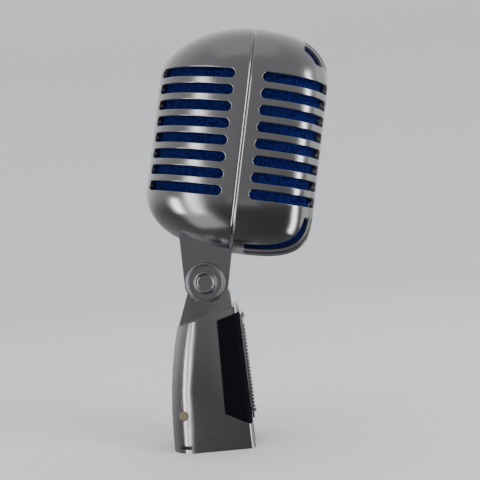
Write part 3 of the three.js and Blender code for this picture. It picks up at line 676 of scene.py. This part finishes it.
def foam_noise(place):
    """Small uneven dents in the foam, in millimetres, from layered waves."""
    x, y, z = place.T
    broad = np.sin(x * 3.1 + 2 * np.sin(z * 1.7)) * np.sin(z * 2.9 + y * 1.3)
    fine = np.sin(y * 4.3 + x * 1.9) * np.sin(z * 4.7 + 1.1)
    return FOAM_DENTS["broad"] * broad + FOAM_DENTS["fine"] * fine


def foam_liner(form):
    """The foam behind one half's shell."""
    points, _, faces = half_shell(
        form, [], FOAM_SPACING, FOAM_DEPTH, FOAM_DEPTH + FOAM_THICK, foam_noise)
    obj = closed_object(f"{form.half}_foam", head_place(points), faces, MATERIALS["blue_foam"])
    finish_head_piece(obj, f"{form.half}_foam_liner")


for half_form in (HalfForm("front"), HalfForm("rear")):
    grille_shell(half_form)
    foam_liner(half_form)


# ---------- CAD nodes that show ----------
EDGE_ROUNDING = {          # millimetres
    "base_housing": 0.35, "swivel_yoke": 0.45, "base_front_cover": 0.3,
    "ridged_front_plate": 0.12, "plate_screw_bottom": 0.1, "plate_screw_top": 0.1,
    "pivot_cap_left": 0.18, "pivot_cap_right": 0.18, "yoke_screw_front": 0.15,
    "yoke_screw_rear": 0.15, "shell_screw_upper": 0.15, "shell_screw_lower": 0.15,
    "socket_insert": 0.2, "socket_set_screw": 0.15, "thread_bush": 0.2,
}
OTHER_ROUNDING = 0.1
ROUNDING_STEPS = 3
WELD_UNDER = 0.01          # millimetres
FLAT_UNDER = math.radians(0.4)
SMOOTH_UNDER = math.radians(32)
LARGE_FACE_WEIGHT = 90     # of 100, how far large faces set the shading beside rounded edges
RIDGED = "ridged_front_plate"      # drawn with flat faces, so that each ridge reads


def dress_node(name, node):
    """Gives a CAD node its finish, smooth curved faces and softly rounded edges."""
    kind = node.data.materials[0].name
    finish = next(key for key in MATERIALS if kind.startswith(key))
    node.data.materials.clear()
    node.data.materials.append(MATERIALS[finish])
    smooth = name != RIDGED
    node.data.polygons.foreach_set("use_smooth", [smooth] * len(node.data.polygons))
    weld = node.modifiers.new("weld", "WELD")
    weld.merge_threshold = WELD_UNDER * MM
    flats = node.modifiers.new("flats", "DECIMATE")
    flats.decimate_type = "DISSOLVE"
    flats.angle_limit = FLAT_UNDER
    bevel = node.modifiers.new("edges", "BEVEL")
    bevel.width = EDGE_ROUNDING.get(name, OTHER_ROUNDING) * MM
    bevel.segments = ROUNDING_STEPS if name in EDGE_ROUNDING else 1
    bevel.limit_method = "ANGLE"
    bevel.angle_limit = SMOOTH_UNDER
    if smooth:
        weighted = node.modifiers.new("normals", "WEIGHTED_NORMAL")
        weighted.weight = LARGE_FACE_WEIGHT
        weighted.keep_sharp = True


for node_name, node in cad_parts.items():
    if not node.hide_render:
        dress_node(node_name, node)


# ---------- camera, stage and light, in metres ----------
MIDDLE = (0, 0, 0.09)
CAMERA_PLACE = (-0.3579, -0.0104, 0.0819)
CAMERA_YAW = math.radians(-0.15)
CAMERA_PITCH = math.radians(0.41)
CAMERA_ROLL = math.radians(-5.24)
CAMERA_LENS = 56.6        # millimetres, on a sensor 36 wide
CAMERA_SENSOR = 36
NEAREST_SEEN = 0.01
FLOOR_GAP = 0.0001
FLOOR = {"radius": 1.7, "bend": 0.6, "height": 2.2, "bend_steps": 12, "rounds": 96}
FLOOR_COLOUR = (0.60, 0.61, 0.62)
WORLD = {"colour": (0.95, 0.97, 1.0), "strength": 0.9}
LIGHTS = {                # place, size, watts
    "overhead": ((0.0, 0.0, 2.1), (2.6, 2.6), 42),
    "key": ((-0.55, -0.75, 0.75), (0.35, 0.5), 6),
}
ROOM_RADIUS = 2.9
ROOM_BLUENESS = 1.03
ROOM_SHADES = ((0.0, 0.13), (0.30, 0.14), (0.48, 0.20), (0.66, 0.30), (1.0, 0.68))
ROOM_RISE = {"From Min": 0.36, "From Max": 0.62, "To Min": 0.38, "To Max": 1.35}


def photo_camera():
    """The camera that sees the object as the photo does."""
    forward = Vector((math.cos(CAMERA_PITCH) * math.cos(CAMERA_YAW),
                      math.cos(CAMERA_PITCH) * math.sin(CAMERA_YAW),
                      math.sin(CAMERA_PITCH)))
    right = forward.cross(Vector((0, 0, 1))).normalized()
    up = right.cross(forward)
    cos, sin = math.cos(CAMERA_ROLL), math.sin(CAMERA_ROLL)
    rolled_right = right * cos + up * sin
    rolled_up = up * cos - right * sin
    data = bpy.data.cameras.new("camera")
    data.lens = CAMERA_LENS
    data.sensor_width = CAMERA_SENSOR
    data.clip_start = NEAREST_SEEN
    camera = added("camera", data)
    turn = Matrix((rolled_right, rolled_up, -forward)).transposed()
    camera.matrix_world = Matrix.Translation(CAMERA_PLACE) @ turn.to_4x4()
    bpy.context.scene.camera = camera


def floor_profile():
    """From the middle out and up, as (distance, rise): flat, a round bend, an upright wall."""
    start = FLOOR["radius"] - FLOOR["bend"]
    profile = [(start, 0.0)]
    for step in range(1, FLOOR["bend_steps"] + 1):
        turn = step / FLOOR["bend_steps"] * math.pi / 2
        profile.append((start + FLOOR["bend"] * math.sin(turn), FLOOR["bend"] * (1 - math.cos(turn))))
    return profile + [(FLOOR["radius"], FLOOR["height"])]


def floor_and_wall():
    """A round pale floor that rises smoothly into a wall, all the way round."""
    floor_z = -SEAT_DEPTH * MM - FLOOR_GAP
    rounds = FLOOR["rounds"]
    profile = floor_profile()
    vertices = [(0, 0, floor_z)]
    for distance, rise in profile:
        for step in range(rounds):
            turn = step / rounds * 2 * math.pi
            vertices.append((distance * math.cos(turn), distance * math.sin(turn), floor_z + rise))
    rings = [[1 + ring * rounds + step for step in range(rounds)] for ring in range(len(profile))]
    faces = [(0, corner, after) for corner, after in zip(rings[0], rings[0][1:] + rings[0][:1])]
    for ring, outer in zip(rings[:-1], rings[1:]):
        faces += [face[::-1] for face in faces_between(ring, outer)]
    material, _, _ = shader("floor", FLOOR_COLOUR, metallic=0.0, roughness=0.9, specular=0.1)
    obj = added("floor", smooth_mesh("floor", vertices, faces, material))
    obj.visible_glossy = False


def facing_middle(obj, place):
    """Puts a light or a card at a place, turned towards the object's middle."""
    away = Vector(place) - Vector(MIDDLE)
    obj.rotation_euler = away.to_track_quat("Z", "Y").to_euler()
    obj.location = place


def area_light(name, place, size, power):
    """A soft light on the scene that the metal doesn't mirror."""
    data = bpy.data.lights.new(name, "AREA")
    data.shape = "RECTANGLE"
    data.size, data.size_y = size
    data.energy = power
    obj = added(name, data)
    facing_middle(obj, place)
    obj.visible_camera = False
    obj.visible_glossy = False


def only_in_reflections(obj):
    """Hides a stage object from everything but the metal's mirror images."""
    obj.visible_camera = False
    obj.visible_diffuse = False
    obj.visible_shadow = False
    obj.visible_transmission = False


def glow(name, strength):
    """An even glow, as a material and its emission node."""
    material = bpy.data.materials.new(name)
    material.use_nodes = True
    tree = material.node_tree
    tree.nodes.remove(tree.nodes["Principled BSDF"])
    emission = tree.nodes.new("ShaderNodeEmission")
    emission.inputs["Strength"].default_value = strength
    tree.links.new(emission.outputs["Emission"], tree.nodes["Material Output"].inputs["Surface"])
    return material, emission


def reflection_card(name, place, size, strength):
    """A flat card facing the object that only shows in its metal."""
    mesh = bpy.data.meshes.new(name)
    corners = [(x * size[0] / 2, y * size[1] / 2, 0) for x, y in ((-1, -1), (1, -1), (1, 1), (-1, 1))]
    mesh.from_pydata(corners, [], [(0, 1, 2, 3)])
    mesh.materials.append(glow(name, strength)[0])
    obj = added(name, mesh)
    facing_middle(obj, place)
    only_in_reflections(obj)


def around(side, rise, distance):
    """A place round the object: degrees from -X towards +Y, degrees up, metres away."""
    side, rise = math.radians(side), math.radians(rise)
    flat = distance * math.cos(rise)
    return (-flat * math.cos(side), flat * math.sin(side), MIDDLE[2] + distance * math.sin(rise))


CARDS = {                 # place, size, strength
    "head_rear_card": (around(46, 0, 1.25), (0.28, 1.6), 2.3),
    "base_rear_card": (around(68, -10, 1.25), (0.20, 0.5), 4.5),
    "rear_fill": (around(50, -38, 1.3), (0.8, 0.7), 0.45),
    "front_card": (around(-65, -12, 1.2), (0.20, 1.9), 4.2),
    "front_side_fill": (around(-105, 0, 1.4), (0.9, 1.6), 0.5),
    "top_card": ((-0.35, 0.0, 1.5), (1.0, 1.0), 0.30),
    "swivel_card": (around(0, -4, 1.4), (0.5, 0.2), 0.22),
}


def room_glow():
    """The room's glow: dim on the -X side, pale on the +X side, and brighter higher up."""
    material, emission = glow("room", 1.0)
    tree = material.node_tree
    source = tree.nodes.new("ShaderNodeTexCoord")
    split = tree.nodes.new("ShaderNodeSeparateXYZ")
    ramp = tree.nodes.new("ShaderNodeValToRGB")
    elements = ramp.color_ramp.elements
    for place, _ in ROOM_SHADES[1:-1]:
        elements.new(place)
    for element, (place, shade) in zip(elements, ROOM_SHADES):
        element.position = place
        element.color = (shade, shade, shade * ROOM_BLUENESS, 1)
    tree.links.new(source.outputs["Generated"], split.inputs["Vector"])
    tree.links.new(split.outputs["X"], ramp.inputs["Fac"])
    tree.links.new(ramp.outputs["Color"], emission.inputs["Color"])
    height = tree.nodes.new("ShaderNodeMapRange")
    height.interpolation_type = "SMOOTHSTEP"
    for end, value in ROOM_RISE.items():
        height.inputs[end].default_value = value
    tree.links.new(split.outputs["Z"], height.inputs["Value"])
    tree.links.new(height.outputs["Result"], emission.inputs["Strength"])
    return material


def reflection_room():
    """A round room that only the metal sees."""
    build = bmesh.new()
    bmesh.ops.create_uvsphere(build, u_segments=48, v_segments=24, radius=ROOM_RADIUS)
    mesh = bpy.data.meshes.new("room")
    build.to_mesh(mesh)
    build.free()
    mesh.materials.append(room_glow())
    only_in_reflections(added("room", mesh))


def world_light():
    """Even, slightly cool light from all round."""
    world = bpy.data.worlds.new("world")
    world.use_nodes = True
    back = world.node_tree.nodes["Background"]
    back.inputs["Color"].default_value = (*WORLD["colour"], 1)
    back.inputs["Strength"].default_value = WORLD["strength"]
    bpy.context.scene.world = world


photo_camera()
floor_and_wall()
reflection_room()
world_light()
for light_name, light in LIGHTS.items():
    area_light(light_name, *light)
for card_name, card in CARDS.items():
    reflection_card(card_name, *card)
